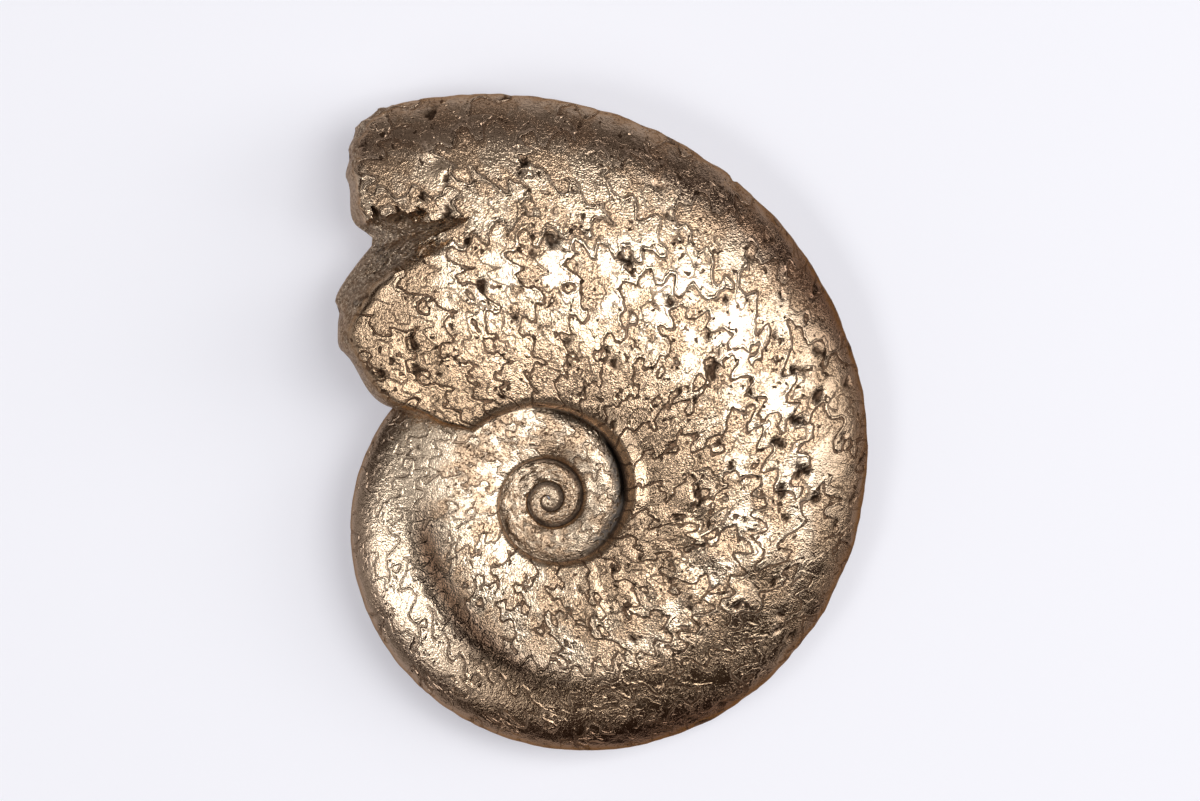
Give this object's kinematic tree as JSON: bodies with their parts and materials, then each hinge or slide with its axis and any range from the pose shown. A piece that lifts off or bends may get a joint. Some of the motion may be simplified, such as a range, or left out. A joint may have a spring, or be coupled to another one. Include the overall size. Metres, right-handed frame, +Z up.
{
  "type": "ammonite fossil",
  "caption": "Coiled, compressed fossil shell cast in metallic pyrite, lying flat, with frilled suture lines on its flanks, a stepped umbilicus and a broken, fluted end.",
  "frame": {"origin": "under the middle of the shell's bounding box, on the surface it lies on", "axes": "+Z up, across the flat spiral; +Y along the longest extent, from the coil's lower rim to the broken outer whorl; +X from the broken end across to the outer rim"},
  "size_m": [0.0224, 0.028, 0.0065],
  "materials": {
    "pyrite": "pyrite with a golden bronze metallic lustre, brighter on the worn flanks, browner at the rim and in the pits"
  },
  "bodies": {
    "root": {"ammonite": "pyrite"}
  },
  "joints": []
}
